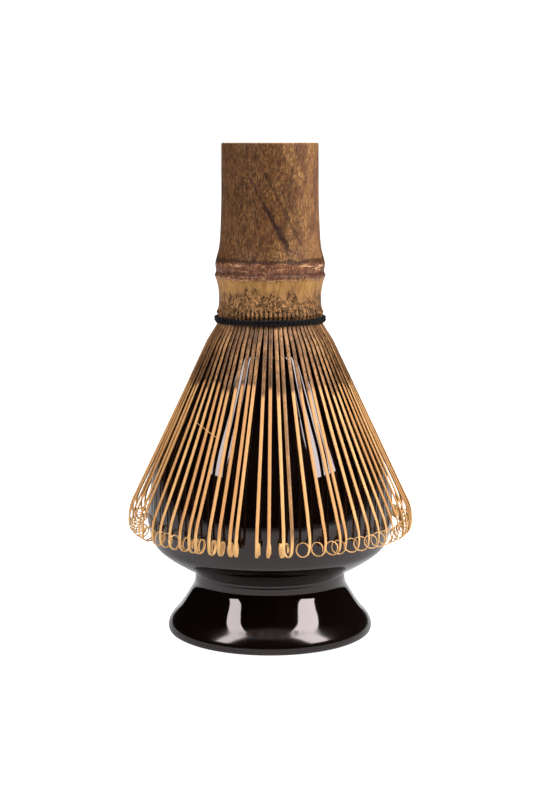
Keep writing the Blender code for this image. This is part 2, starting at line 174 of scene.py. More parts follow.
# ---- loose fibre ----------------------------------------------------------------------------
FIBRE_BODY = "outer_tines_17"
FIBRE_RADIUS = 0.06 * MM
FIBRE_PATH = [(-46.3, 25.72, 58.4), (-38.0, 26.25, 56.9), (-29.4, 26.8, 55.3)]  # degrees, mm, mm

# ---- binding thread -------------------------------------------------------------------------
THREAD_ROUNDS = 2
PLY_RADIUS = 0.27 * MM
THREAD_HEAD = 0.45 * MM  # room left over the top round
PLIES = 2
THREAD_RIBS = 0.14 * MM  # how far it stands out over each tine and dips between two
TWISTS_PER_ROUND = 40
POINTS_PER_ROUND = 360
PLY_OFFSET = 0.86 * PLY_RADIUS  # of each ply from the middle of the thread, so that they bite

# ---- studio ---------------------------------------------------------------------------------
FLOOR_RADIUS = 6.0
FLOOR_GLOW = (0.08, 1.0)  # as the object meets it, and as the camera sees it
CEILING = (0.80, 0.97, 0.008, 1.3)  # upward slopes where it starts and is full, then its strengths
LIT_HEIGHT = 0.06  # the soft boxes face this height
SOFT_BOXES = {  # azimuth and elevation in degrees, distance, width and height in metres, watts
    "left_box": (-57.0, 44.0, 0.9, 0.24, 0.75, 8.0),
    "right_box": (60.0, 44.0, 0.9, 0.36, 0.75, 14.0),
}
CAMERA_PLACE = (0.0, -0.455, 0.128)
CAMERA_DOWN = 8.468  # degrees below level
CAMERA_LENS = 78.26


# ==== shared helpers =========================================================================
def clear_selection():
    if bpy.context.mode != "OBJECT":
        bpy.ops.object.mode_set(mode="OBJECT")
    bpy.ops.object.select_all(action="DESELECT")


def keep(piece, name, material, body, *nodes, slot):
    """Names a finished piece, gives it its material if it has none, puts it on its body and hides the frame's
    parts that it stands for.
    """
    piece.name = name
    piece.data.name = name
    if not piece.data.materials:
        piece.data.materials.append(material)
    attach(piece, body)
    if nodes:
        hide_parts(*nodes)
    return piece


def points_of(mesh):
    places = np.empty(len(mesh.vertices) * 3)
    mesh.vertices.foreach_get("co", places)
    return places.reshape(-1, 3)


def put_points(mesh, places):
    mesh.vertices.foreach_set("co", places.ravel())
    mesh.update()


def smoothstep(value, low, high):
    share = np.clip((value - low) / (high - low), 0.0, 1.0)
    return share * share * (3.0 - 2.0 * share)


def spline_through(knots, steps):
    """Catmull-Rom curve through (radius, height) knots, with steps stations to each span."""
    knots = [Vector(knot) for knot in knots]
    ends = [knots[0] * 2 - knots[1], *knots, knots[-1] * 2 - knots[-2]]
    stations = []
    for before, a, b, after in zip(ends, ends[1:], ends[2:], ends[3:]):
        for step in range(steps):
            t = step / steps
            square = (2 * before - 5 * a + 4 * b - after) * t**2
            cube = (3 * a - before - 3 * b + after) * t**3
            stations.append(0.5 * (2 * a + (b - before) * t + square + cube))
    return [*stations, knots[-1]]


def inset(profile, wall):
    """A profile moved in by the wall, square to its own direction."""
    moved = []
    for before, point, after in zip(profile, profile[1:], profile[2:]):
        along = (after - before).normalized()
        moved.append(point + Vector((along.y, -along.x)) * wall)
    return moved


def turn_on_axis(profile, segments, closed):
    """A ring drawn out through the (radius, height) stations of a profile.

    A closed profile meets its own start; an open one starts and ends in a small disc.
    """
    clear_selection()
    radius, height = profile[0]
    bpy.ops.mesh.primitive_circle_add(vertices=segments, radius=radius, location=(0, 0, height))
    piece = bpy.context.active_object
    bpy.ops.object.transform_apply(location=True, rotation=False, scale=False)
    bpy.ops.object.mode_set(mode="EDIT")
    bpy.ops.mesh.select_all(action="SELECT")
    for (r0, z0), (r1, z1) in zip(profile, profile[1:]):
        bpy.ops.mesh.extrude_edges_move(TRANSFORM_OT_translate={"value": (0, 0, z1 - z0)})
        bpy.ops.transform.resize(value=(r1 / r0, r1 / r0, 1.0), center_override=(0, 0, z1))
    bpy.ops.mesh.select_all(action="DESELECT")
    bpy.ops.mesh.select_mode(type="EDGE")
    bpy.ops.mesh.select_non_manifold()
    if closed:
        bpy.ops.mesh.bridge_edge_loops()
    else:
        bpy.ops.mesh.fill_holes(sides=0)
    bpy.ops.mesh.select_all(action="SELECT")
    bpy.ops.mesh.normals_make_consistent(inside=False)
    bpy.ops.object.mode_set(mode="OBJECT")
    bpy.ops.object.shade_smooth()
    return piece


# ==== shader nodes ===========================================================================
def add_node(tree, kind, inputs=None, **settings):
    """A node whose inputs are set to values, or joined where the value is another socket."""
    node = tree.nodes.new(kind)
    for name, value in settings.items():
        setattr(node, name, value)
    for name, value in (inputs or {}).items():
        if isinstance(value, bpy.types.NodeSocket):
            tree.links.new(value, node.inputs[name])
        else:
            node.inputs[name].default_value = value
    return node


def maths(tree, operation, a, b=0.0, clamp=False):
    inputs = {0: a, 1: b}
    return add_node(tree, "ShaderNodeMath", inputs, operation=operation, use_clamp=clamp).outputs[0]


def times(tree, a, b):
    return maths(tree, "MULTIPLY", a, b)


def remap(tree, value, low, high, to_low=0.0, to_high=1.0):
    inputs = {"Value": value, "From Min": low, "From Max": high, "To Min": to_low, "To Max": to_high}
    return add_node(tree, "ShaderNodeMapRange", inputs, interpolation_type="SMOOTHSTEP").outputs[0]


def blend_colours(tree, share, a, b):
    """Colour a where the share is 0 and colour b where it is 1."""
    return add_node(tree, "ShaderNodeMix", {0: share, 6: a, 7: b}, data_type="RGBA").outputs[2]


def noise(tree, vector, scale, detail=3.0, roughness=0.55):
    inputs = {"Vector": vector, "Scale": scale, "Detail": detail, "Roughness": roughness}
    return add_node(tree, "ShaderNodeTexNoise", inputs).outputs[0]


def stretched(tree, vector, scale):
    return add_node(tree, "ShaderNodeMapping", {"Vector": vector, "Scale": scale}).outputs[0]


def attribute(tree, name):
    return add_node(tree, "ShaderNodeAttribute", None, attribute_name=name).outputs["Fac"]


def raise_surface(tree, shader, height, strength, distance):
    """Fine relief, from a height pattern."""
    inputs = {"Height": height, "Strength": strength, "Distance": distance}
    tree.links.new(add_node(tree, "ShaderNodeBump", inputs).outputs[0], shader.inputs["Normal"])


def patches_of(tree, vector, squash, scale, detail, roughness, low, high):
    """Soft-edged patches, drawn out along Z where squash is under 1 and flattened where over."""
    grain = noise(tree, stretched(tree, vector, (1, 1, squash)), scale, detail, roughness)
    return remap(tree, grain, low, high)


def shifted(tree, operation, a, b):
    """Vector sums, differences and scaling."""
    inputs = {0: a, ("Scale" if operation == "SCALE" else 1): b}
    return add_node(tree, "ShaderNodeVectorMath", inputs, operation=operation).outputs[0]


def colour(*channels):
    """A colour as the eye names it, 0 to 255 a channel, in the shader's own linear values."""
    linear = [((c / 255 + 0.055) / 1.055) ** 2.4 if c > 10 else c / 255 / 12.92 for c in channels]
    return (*linear, 1.0)


def new_group(name, inputs, outputs):
    """An empty node group: inputs are (name, kind, value), outputs are (name, kind)."""
    group = bpy.data.node_groups.new(name, "ShaderNodeTree")
    for label, kind, value in inputs:
        socket = group.interface.new_socket(label, in_out="INPUT", socket_type=kind)
        if value is not None:
            socket.default_value = value
    for label, kind in outputs:
        group.interface.new_socket(label, in_out="OUTPUT", socket_type=kind)
    return group, group.nodes.new("NodeGroupInput").outputs, group.nodes.new("NodeGroupOutput").inputs


def use_group(tree, group, inputs):
    return add_node(tree, "ShaderNodeGroup", inputs, node_tree=group).outputs


def new_finish(name, settings):
    """A material and its node tree, with constant values set on the shader itself."""
    material = bpy.data.materials.new(name)
    material.use_nodes = True
    tree = material.node_tree
    shader = tree.nodes["Principled BSDF"]
    for label, value in settings.items():
        shader.inputs[label].default_value = value
    return material, tree, shader


def fibre_group():
    """Bamboo's long fibres: fine streaks along Z and their relief."""
    kinds = [("Vector", "NodeSocketVector", None), ("Fineness", "NodeSocketFloat", 1800.0)]
    outputs = [("Streaks", "NodeSocketFloat"), ("Relief", "NodeSocketFloat")]
    tree, source, sink = new_group("bamboo_fibres", kinds, outputs)
    along = stretched(tree, source["Vector"], (1.0, 1.0, 0.035))
    fine = noise(tree, along, source["Fineness"], 2.0)
    broad = noise(tree, along, times(tree, source["Fineness"], 0.3), 3.0)
    both = maths(tree, "ADD", times(tree, fine, 0.55), times(tree, broad, 0.45))
    tree.links.new(remap(tree, both, 0.36, 0.64), sink["Streaks"])
    tree.links.new(both, sink["Relief"])
    return tree


def fleck_group():
    """Short upright flecks scattered over a skin: 1 on a fleck, 0 between."""
    kinds = [
        ("Vector", "NodeSocketVector", None),
        ("Scale", "NodeSocketFloat", 900.0),
        ("Amount", "NodeSocketFloat", 0.5),
    ]
    tree, source, sink = new_group("skin_flecks", kinds, [("Flecks", "NodeSocketFloat")])
    along = stretched(tree, source["Vector"], (1.0, 1.0, 0.28))
    grain = noise(tree, along, source["Scale"], 2.0, 0.6)
    edge = maths(tree, "SUBTRACT", 0.78, times(tree, source["Amount"], 0.4))
    over = maths(tree, "SUBTRACT", grain, edge)
    tree.links.new(maths(tree, "MULTIPLY", over, 14.0, clamp=True), sink["Flecks"])
    return tree


# ==== finishes ===============================================================================
def upright_band(tree, height, low, high, edge):
    """1 where the height is between two levels, fading over the edge."""
    rising = remap(tree, height, low - edge, low)
    return times(tree, rising, remap(tree, height, high + edge, high))


def slanted_stain(tree, axes, start, slope, half_width, low, high):
    """A dark streak on the front of the culm that starts at (x, z) and leans aside as it runs down."""
    drop = times(tree, maths(tree, "SUBTRACT", start[1], axes["Z"]), slope)
    off = maths(tree, "SUBTRACT", maths(tree, "SUBTRACT", axes["X"], start[0]), drop)
    streak = remap(tree, maths(tree, "ABSOLUTE", off), half_width, half_width * 0.35)
    return times(tree, streak, upright_band(tree, axes["Z"], low, high, STREAK_FADE))


def smoked_skin(fibres, flecks):
    """Smoked culm skin: mottled brown above the node, paler below, speckled above the thread."""
    material, tree, shader = new_finish("smoked_bamboo_skin", {"Specular IOR Level": 0.12})
    place = add_node(tree, "ShaderNodeTexCoord").outputs["Object"]
    warp = add_node(tree, "ShaderNodeTexNoise", {"Vector": place, "Scale": 420.0, "Detail": 3.0})
    warp = shifted(tree, "SUBTRACT", warp.outputs["Color"], (0.5, 0.5, 0.5))
    uneven = shifted(tree, "ADD", place, shifted(tree, "SCALE", warp, 2.2 * MM))
    axes = add_node(tree, "ShaderNodeSeparateXYZ", {0: uneven}).outputs
    height = axes["Z"]
    grain = use_group(tree, fibres, {"Vector": place, "Fineness": 1500.0})
    inputs = {"Vector": stretched(tree, place, (1, 1, 1.6)), "Scale": 2300.0, "Amount": 0.6}
    pale_flecks = use_group(tree, flecks, inputs)["Flecks"]
    sandy = patches_of(tree, place, 0.4, 1700.0, 8.0, 0.9, 0.38, 0.64)
    mottle = patches_of(tree, place, 0.5, 900.0, 6.0, 0.75, 0.36, 0.66)
    right = remap(tree, axes["X"], -1.0 * MM, 6.0 * MM)
    side = remap(tree, axes["X"], 3.0 * MM, 11.5 * MM)
    patches = patches_of(tree, place, 0.5, 240.0, 4.0, 0.6, 0.44, 0.62)
    patches = times(tree, patches, maths(tree, "ADD", times(tree, right, 0.4), 0.1))
    skin = blend_colours(tree, sandy, colour(30, 13, 6), colour(112, 73, 42))
    skin = blend_colours(tree, times(tree, mottle, 0.22), skin, colour(40, 20, 12))
    # Painted light: the skin is painted paler and pinker towards its right side, as if lit from the right.
    skin = blend_colours(tree, times(tree, side, 0.26), skin, colour(146, 102, 80))
    bright = times(tree, patches, maths(tree, "ADD", times(tree, sandy, 0.8), 0.2))
    skin = blend_colours(tree, bright, skin, colour(160, 116, 68))
    gold = times(tree, pale_flecks, maths(tree, "ADD", patches, 0.15))
    skin = blend_colours(tree, times(tree, gold, 0.7), skin, colour(186, 142, 90))

    # Dark streaks of smoke run slantwise down the front.
    front = remap(tree, axes["Y"], -2.0 * MM, -8.0 * MM)
    stain = 0.0
    for *streak, strength in SMOKE_STREAKS:
        streak = times(tree, slanted_stain(tree, axes, *streak), strength)
        stain = maths(tree, "MAXIMUM", stain, streak)
    skin = blend_colours(tree, times(tree, times(tree, stain, front), 0.8), skin, colour(28, 14, 13))

    # The node: a reddish swelling with a dark line above it and another between its ridges.
    ruddy = blend_colours(tree, mottle, colour(70, 38, 27), colour(124, 80, 60))
    ruddy = blend_colours(tree, times(tree, pale_flecks, 0.4), ruddy, colour(176, 130, 92))
    skin = blend_colours(tree, times(tree, upright_band(tree, height, *RUDDY_NODE), 0.85), skin, ruddy)
    # Painted highlights: pale glints on the node's upper ridge, then joined with the pale line at the node's
    # lower edge.
    highlights_and_pale_edge = patches_of(tree, place, 5.0, 230.0, 4.0, 0.6, 0.55, 0.62)
    highlights_and_pale_edge = times(tree, highlights_and_pale_edge, upright_band(tree, height, *RIDGE_HIGHLIGHT))
    pale_edge = times(tree, upright_band(tree, height, *PALE_EDGE), mottle)
    highlights_and_pale_edge = maths(tree, "MAXIMUM", highlights_and_pale_edge, pale_edge)
    skin = blend_colours(tree, times(tree, highlights_and_pale_edge, 0.6), skin, colour(224, 176, 128))
    over = times(tree, upright_band(tree, height, *LINE_OVER_NODE), 0.7)
    between = times(tree, upright_band(tree, height, *LINE_IN_NODE), 0.6)
    skin = blend_colours(tree, maths(tree, "MAXIMUM", over, between), skin, colour(34, 18, 13))

    # Below the node the skin is a pale tan, with dark specks that thicken towards the thread.
    below = remap(tree, height, *TAN_TOP)
    tan = blend_colours(tree, grain["Streaks"], colour(138, 98, 52), colour(172, 128, 74))
    tan = blend_colours(tree, times(tree, mottle, 0.3), tan, colour(108, 76, 38))
    skin = blend_colours(tree, below, skin, tan)
    ragged = noise(tree, stretched(tree, place, (1, 1, 0.3)), 260.0, 5.0, 0.7)
    sinking = remap(tree, maths(tree, "ADD", height, times(tree, ragged, RAGGED)), *DUSKY_TOP)
    dusky = blend_colours(tree, mottle, colour(66, 40, 22), colour(176, 128, 84))
    skin = blend_colours(tree, times(tree, below, times(tree, sinking, 0.8)), skin, dusky)
    inputs = {
        "Vector": stretched(tree, place, (1, 1, 2.2)),
        "Scale": 2500.0,
        "Amount": times(tree, sinking, 0.78),
    }
    specks = use_group(tree, flecks, inputs)["Flecks"]
    specks = times(tree, specks, times(tree, below, sinking))
    skin = blend_colours(tree, times(tree, specks, 0.78), skin, colour(42, 25, 14))
    # Painted shade: the splits between the tines are painted near black, for the shade inside the slits.
    skin = blend_colours(tree, attribute(tree, "split"), skin, colour(20, 11, 7))
    tree.links.new(skin, shader.inputs["Base Color"])
    rough = remap(tree, mottle, 0.0, 1.0, 0.40, 0.56)
    tree.links.new(rough, shader.inputs["Roughness"])
    relief = maths(tree, "ADD", grain["Relief"], times(tree, mottle, 0.4))
    raise_surface(tree, shader, relief, 0.4, 0.3 * MM)
    return material


def cut_culm(fibres):
    """Sawn end and bore: pale wood with the dark dots of its fibre bundles."""
    material, tree, shader = new_finish("cut_bamboo", {"Roughness": 0.7, "Specular IOR Level": 0.3})
    place = add_node(tree, "ShaderNodeTexCoord").outputs["Object"]
    grain = use_group(tree, fibres, {"Vector": place, "Fineness": 1300.0})
    dots = add_node(tree, "ShaderNodeTexVoronoi", {"Vector": place, "Scale": 1500.0}).outputs["Distance"]
    dots = remap(tree, dots, 0.34, 0.2)
    wood = blend_colours(tree, grain["Streaks"], colour(168, 126, 82), colour(205, 168, 118))
    wood = blend_colours(tree, times(tree, dots, 0.6), wood, colour(98, 62, 38))
    tree.links.new(wood, shader.inputs["Base Color"])
    raise_surface(tree, shader, grain["Relief"], 0.4, 0.3 * MM)
    return material


def shaved_tine(fibres, flecks):
    """Shaved bamboo, each tine of its own shade, with the smoked skin left on near the root."""
    settings = {"Roughness": 0.4, "Specular IOR Level": 0.2}
    material, tree, shader = new_finish("shaved_bamboo", settings)
    place = add_node(tree, "ShaderNodeTexCoord").outputs["Object"]
    shade = attribute(tree, "shade")
    grain = use_group(tree, fibres, {"Vector": place, "Fineness": 2600.0})
    wood = blend_colours(tree, shade, colour(180, 127, 77), colour(216, 167, 110))
    wood = blend_colours(tree, times(tree, grain["Streaks"], 0.35), wood, colour(166, 116, 68))
    spots = use_group(tree, flecks, {"Vector": place, "Scale": 2100.0, "Amount": 0.66})
    skin = blend_colours(tree, grain["Streaks"], colour(48, 29, 14), colour(106, 70, 40))
    lit = remap(tree, noise(tree, place, 160.0, 4.0, 0.6), 0.38, 0.62, -0.25, 0.3)
    lit = maths(tree, "ADD", times(tree, shade, 0.85), lit, clamp=True)
    skin = blend_colours(tree, lit, skin, colour(168, 121, 78))
    skin = blend_colours(tree, times(tree, spots["Flecks"], 0.6), skin, colour(44, 27, 18))
    height = add_node(tree, "ShaderNodeSeparateXYZ", {0: place}).outputs["Z"]
    # Partly painted light: the curls are painted paler, partly for their paler wood and partly to lift the
    # shade on their faces.
    wood = blend_colours(tree, remap(tree, height, *PALE_AND_LIT_CURLS, 0.0, 0.32), wood, colour(244, 202, 136))
    smoked = remap(tree, height, *(SKIN_END_Z + fade for fade in SMOKED_FADE), 0.0, 0.3)
    wood = blend_colours(tree, smoked, wood, colour(112, 70, 38))
    both = blend_colours(tree, attribute(tree, "skin_left"), wood, skin)
    # Painted shade: the deep sides of the curled tines and the upper ends of the gathered tines go near
    # black, for the shade between the tines.
    both = blend_colours(tree, remap(tree, attribute(tree, "deep"), 0.03, 0.24), both, colour(16, 9, 5))
    tree.links.new(both, shader.inputs["Base Color"])
    raise_surface(tree, shader, grain["Relief"], 0.3, 0.2 * MM)
    return material


def black_thread():
    """Black cotton: a matt yarn with a faint haze of fibre ends."""
    settings = {"Roughness": 0.9, "Sheen Weight": 0.05, "Sheen Roughness": 0.5, "Specular IOR Level": 0.1}
    material, tree, shader = new_finish("black_cotton", settings)
    place = add_node(tree, "ShaderNodeTexCoord").outputs["Object"]
    haze = noise(tree, place, 2600.0, 4.0)
    yarn = blend_colours(tree, remap(tree, haze, 0.4, 0.7), colour(7, 5, 6), colour(24, 18, 20))
    tree.links.new(yarn, shader.inputs["Base Color"])
    raise_surface(tree, shader, haze, 0.5, 0.2 * MM)
    return material


def black_glaze():
    """Black iron glaze: deep and wet, a little browner in soft patches, with fine pinprick specks."""
    settings = {"Specular IOR Level": 0.5, "Specular Tint": (1.0, 0.86, 0.87, 1.0)}
    material, tree, shader = new_finish("black_glaze", settings)
    place = add_node(tree, "ShaderNodeTexCoord").outputs["Object"]
    height = add_node(tree, "ShaderNodeSeparateXYZ", {0: place}).outputs["Z"]
    pooling = patches_of(tree, place, 0.5, 60.0, 4.0, 0.55, 0.35, 0.7)
    glaze = blend_colours(tree, pooling, colour(7, 3, 2), colour(13, 6, 5))
    specks = add_node(tree, "ShaderNodeTexVoronoi", {"Vector": place, "Scale": 900.0}).outputs["Distance"]
    specks = times(tree, remap(tree, specks, 0.12, 0.05), 0.5)
    glaze = blend_colours(tree, specks, glaze, colour(34, 20, 16))
    foot = remap(tree, height, *BARE_FOOT)
    glaze = blend_colours(tree, foot, glaze, colour(88, 66, 54))
    tree.links.new(glaze, shader.inputs["Base Color"])
    rough = remap(tree, pooling, 0.0, 1.0, 0.035, 0.06)
    rough = maths(tree, "ADD", rough, times(tree, foot, 0.6))
    rough = maths(tree, "ADD", rough, remap(tree, height, *HANDLED_FOOT, 0.0, 0.11))
    tree.links.new(rough, shader.inputs["Roughness"])
    raise_surface(tree, shader, noise(tree, place, 140.0, 2.0), 0.1, 0.4 * MM)
    return material


# ==== holder =================================================================================
def build_holder(material):
    """Hollow-cast holder: bulb, creased waist and flared foot, open at the mouth and under the foot."""
    outside = spline_through(
        [
            (15.7 * MM, HOLDER_TOP_Z - 1.1 * MM),
            (23.4 * MM, 59.4 * MM),
            (28.0 * MM, 50.3 * MM),
            (30.7 * MM, 42.3 * MM),
            (32.25 * MM, 31.0 * MM),
            (30.9 * MM, 24.6 * MM),
            (28.2 * MM, 21.5 * MM),
            (23.6 * MM, 18.5 * MM),
        ],
        8,
    )
    crease = [Vector((r * MM, z * MM)) for r, z in ((20.3, 16.8), (19.75, 16.45), (19.7, 16.1))]
    foot = spline_through(
        [
            (19.85 * MM, 15.6 * MM),
            (19.95 * MM, 13.6 * MM),
            (20.9 * MM, 11.4 * MM),
            (23.7 * MM, 6.9 * MM),
            (26.1 * MM, 3.9 * MM),
            (26.9 * MM, 2.1 * MM),
            (26.75 * MM, 0.7 * MM),
            (25.9 * MM, 0.12 * MM),
        ],
        7,
    )
    knots = [outside[3], outside[20], outside[32], outside[46], (19.8 * MM, 14.6 * MM), foot[20]]
    inside = inset(spline_through(knots, 6), HOLDER_WALL)
    lip = [(13.2, 0.0), (14.3, 0.0), (14.95, 0.16), (15.35, 0.55)]
    mouth = [(11.5, 3.4), (11.4, 2.4), (11.5, 1.0), (11.85, 0.35), (12.4, 0.05)]
    profile = [
        *(Vector((r * MM, HOLDER_TOP_Z - drop * MM)) for r, drop in lip),
        *outside,
        *crease,
        *foot,
        Vector((25.2 * MM, 0.0)),
        Vector((22.6 * MM, 0.0)),
        Vector((21.9 * MM, 0.5 * MM)),
        *inside[::-1],
        *(Vector((r * MM, HOLDER_TOP_Z - drop * MM)) for r, drop in mouth),
    ]
    piece = turn_on_axis(profile, 128, closed=True)
    return keep(piece, "holder", material, "holder", "whisk_holder", slot="black_glaze")


# ==== culm ===================================================================================
def build_culm(skin, cut):
    """The handle: a tube with a septum inside its node, split at its lower end into the tines."""
    outside = spline_through(
        [
            (12.47 * MM, CULM_TOP - 0.35 * MM),
            (12.52 * MM, 120.0 * MM),
            (12.60 * MM, 112.4 * MM),
            (12.88 * MM, 105.2 * MM),
            (13.2 * MM, 101.6 * MM),
            (13.85 * MM, 98.9 * MM),
            (14.18 * MM, 97.6 * MM),
            (14.22 * MM, 96.8 * MM),
            (14.02 * MM, 95.6 * MM),
            (14.1 * MM, 94.95 * MM),
            (14.38 * MM, 94.35 * MM),
            (14.2 * MM, 93.75 * MM),
            (13.75 * MM, 92.3 * MM),
            (13.4 * MM, 90.4 * MM),
            (13.27 * MM, 88.6 * MM),
            (13.32 * MM, 86.8 * MM),
            (13.55 * MM, 85.5 * MM),
            (13.92 * MM, 84.7 * MM),
            (13.62 * MM, 84.0 * MM),
            (13.55 * MM, CULM_LOW),
        ],
        4,
    )
    bore = CULM_RADIUS - CULM_WALL
    sleeve_bore = bore + 0.75 * MM
    top = NODE_Z + SEPTUM_THICKNESS / 2
    foot = NODE_Z - SEPTUM_THICKNESS / 2
    upper = [(0.3, 0.0), (4.0, 0.05), (7.2, 0.35), (8.7, 1.2), (9.45, 2.6)]
    lower = [(9.9, 2.4), (8.6, 0.8), (6.5, 0.2), (3.0, 0.0), (0.3, 0.0)]
    profile = [
        *(Vector((r * MM, top + rise * MM)) for r, rise in upper),
        *(Vector((bore, z)) for z in np.linspace(top + 4.5 * MM, CULM_TOP - 0.35 * MM, 10)),
        Vector((bore + 0.1 * MM, CULM_TOP - 0.08 * MM)),
        Vector((bore + 0.35 * MM, CULM_TOP)),
        Vector((CULM_RADIUS - 0.45 * MM, CULM_TOP)),
        Vector((CULM_RADIUS - 0.15 * MM, CULM_TOP - 0.08 * MM)),
        *outside,
        Vector((13.2 * MM, CULM_LOW)),
        Vector((sleeve_bore, CULM_LOW)),
        *(Vector((sleeve_bore, z)) for z in np.linspace(CULM_LOW + 1.5 * MM, foot - 4.0 * MM, 5)),
        *(Vector((r * MM, foot - fall * MM)) for r, fall in lower),
    ]
    piece = turn_on_axis(profile, CULM_STEPS, closed=False)
    mesh = piece.data
    shape_culm(mesh)
    mesh.materials.append(skin)
    mesh.materials.append(cut)
    for face in mesh.polygons:
        centre = face.center
        inner = math.hypot(centre.x, centre.y) < CULM_RADIUS - 0.3 * MM
        face.material_index = 1 if inner or face.normal.z > 0.7 else 0
    return keep(piece, "culm_handle", skin, "whisk", "handle", slot="smoked_bamboo_skin")


def shape_culm(mesh):
    """Grown unevenness of the culm, and the pointed splits between the tines at its lower end."""
    places = points_of(mesh)
    azimuth = np.arctan2(places[:, 0], -places[:, 1])
    radius = np.hypot(places[:, 0], places[:, 1])
    height = places[:, 2]
    outer = smoothstep(radius, 11.8 * MM, 12.3 * MM)
    uneven = 0.05 * MM * np.sin(2 * azimuth + 0.7) + 0.035 * MM * np.sin(3 * azimuth + 95.0 * height)
    ribs = 0.012 * MM * np.sin(37 * azimuth + 40.0 * height) + 0.01 * MM * np.sin(61 * azimuth)
    near_node = np.exp(-(((height - NODE_Z) / (4.0 * MM)) ** 2))
    wavy = 0.16 * MM * np.sin(2 * azimuth + 0.4) + 0.07 * MM * np.sin(5 * azimuth + 2.0)
    clear_top = smoothstep(CULM_TOP - height, 0.0, 1.0 * MM)
    moved_up = wavy * near_node * outer * smoothstep(height, 90.0 * MM, 93.0 * MM) * clear_top
    pitch = PAIR_PITCH / 2
    phase = (azimuth - PAIR_OFFSET) / pitch
    off_split = np.abs(phase - np.round(phase)) * 2.0
    uneven_tops = 0.62 + 0.38 * np.abs(np.sin(np.round(phase) * 2.3 + 1.0))
    split_top = CULM_LOW + SPLIT_HEIGHT * uneven_tops
    split = 1.0 - smoothstep(off_split, 0.1, 0.6)
    split *= 1.0 - smoothstep(height, split_top - 0.7 * MM, split_top)
    radius = radius + outer * (uneven + ribs - SPLIT_DEPTH * split)
    mark(mesh, "split", outer * split)
    places[:, 0] = np.sin(azimuth) * radius
    places[:, 1] = -np.cos(azimuth) * radius
    places[:, 2] = height + moved_up
    put_points(mesh, places)


# ==== tines ==================================================================================
def walk(runs, start):
    """Stations every tenth of a millimetre along bent runs, as (distance, radius, height, heading)."""
    step = 0.1 * MM
    radius, height = start
    heading, distance = 0.0, 0.0
    stations = [(distance, radius, height, heading)]
    for length, target, bend in runs:
        turn = math.radians(target) - heading
        length = length or abs(turn) * bend
        count = max(1, round(length / step))
        for _ in range(count):
            middle = heading + turn / count / 2
            radius += math.sin(middle) * length / count
            height -= math.cos(middle) * length / count
            heading += turn / count
            distance += length / count
            stations.append((distance, radius, height, heading))
    return np.array(stations)


def draw_out_strip(sections, length, rings):
    """A straight strip split from the culm, from z 0 down to -length, its outer face towards +X."""
    clear_selection()
    first = length / rings
    bpy.ops.mesh.primitive_cube_add(size=1.0, location=(0, 0, -first / 2))
    strip = bpy.context.active_object
    _, width, thickness = sections[0]
    strip.scale = (thickness, width, first)
    bpy.ops.object.transform_apply(location=True, rotation=False, scale=True)
    bpy.ops.object.mode_set(mode="EDIT")
    bpy.ops.mesh.select_mode(type="FACE")
    bpy.ops.mesh.select_all(action="DESELECT")
    shape = bmesh.from_edit_mesh(strip.data)
    for face in shape.faces:
        face.select_set(face.normal.z < -0.5)
    bmesh.update_edit_mesh(strip.data)
    shares = [section[0] for section in sections]
    for ring in range(1, rings):
        share = (ring + 1) / rings
        new_width = np.interp(share, shares, [section[1] for section in sections])
        new_thickness = np.interp(share, shares, [section[2] for section in sections])
        bpy.ops.mesh.extrude_region_move(TRANSFORM_OT_translate={"value": (0, 0, -first)})
        bpy.ops.transform.resize(
            value=(new_thickness / thickness, new_width / width, 1.0), center_override=(0, 0, -share * length)
        )
        width, thickness = new_width, new_thickness
    bpy.ops.mesh.select_all(action="DESELECT")
    bpy.ops.mesh.select_mode(type="EDGE")
    shape = bmesh.from_edit_mesh(strip.data)
    for edge in shape.edges:
        run = edge.verts[1].co - edge.verts[0].co
        edge.select_set(abs(run.z) > 0.5 * first)
    bmesh.update_edit_mesh(strip.data)
    bpy.ops.mesh.bevel(offset=EDGE_ROUND, segments=1, affect="EDGES")
    bpy.ops.mesh.select_all(action="SELECT")
    bpy.ops.mesh.normals_make_consistent(inside=False)
    bpy.ops.object.mode_set(mode="OBJECT")
    bpy.ops.object.shade_smooth()
    return strip


def bend_along(places, stations):
    """Moves a straight strip's points onto a walked path. Gives (radius, sideways, height)."""
    distance = -places[:, 2]
    radius = np.interp(distance, stations[:, 0], stations[:, 1])
    height = np.interp(distance, stations[:, 0], stations[:, 2])
    heading = np.interp(distance, stations[:, 0], stations[:, 3])
    out, up = places[:, 0] * np.cos(heading), places[:, 0] * np.sin(heading)
    return np.stack([radius + out, places[:, 1], height + up], axis=1)


def placed_round(places, azimuth):
    """Points drawn as (radius, sideways, height), turned to their azimuth round the holder's axis."""
    sine, cosine = np.sin(azimuth), np.cos(azimuth)
    x = places[:, 0] * sine + places[:, 1] * cosine
    y = -places[:, 0] * cosine + places[:, 1] * sine
    return np.stack([x, y, places[:, 2]], axis=1)


def wobble(number):
    """An uneven but repeatable value from -1 to 1 for a numbered piece."""
    return math.sin(number * 2.399) * math.cos(number * 1.117 + 0.4)


def pair_sway(index):
    """(lean of a pair's tips, half the angle between them), in radians of azimuth."""
    lean, half = PAIR_SWAY.get(index, (0.6 * wobble(index), 1.9 + 0.5 * wobble(index + 50)))
    return math.radians(lean), math.radians(half)


def turn_about(places, point, axis, angles):
    """Turns each point by its own angle about one line."""
    axis = axis / np.linalg.norm(axis)
    arm = places - point
    cosine, sine = np.cos(angles)[:, None], np.sin(angles)[:, None]
    along = (arm @ axis)[:, None] * axis
    return point + arm * cosine + np.cross(axis, arm) * sine + along * (1 - cosine)


def loop_twist(azimuth):
    """How far a tine's curl is turned aside from the radial plane."""
    aside = float(smoothstep(math.degrees(azimuth), *SHOWN_LOOPS))
    everywhere, added, chance = LOOP_TWIST
    return math.radians(everywhere + added * aside + dice.uniform(-chance, chance) * (1.0 + aside))


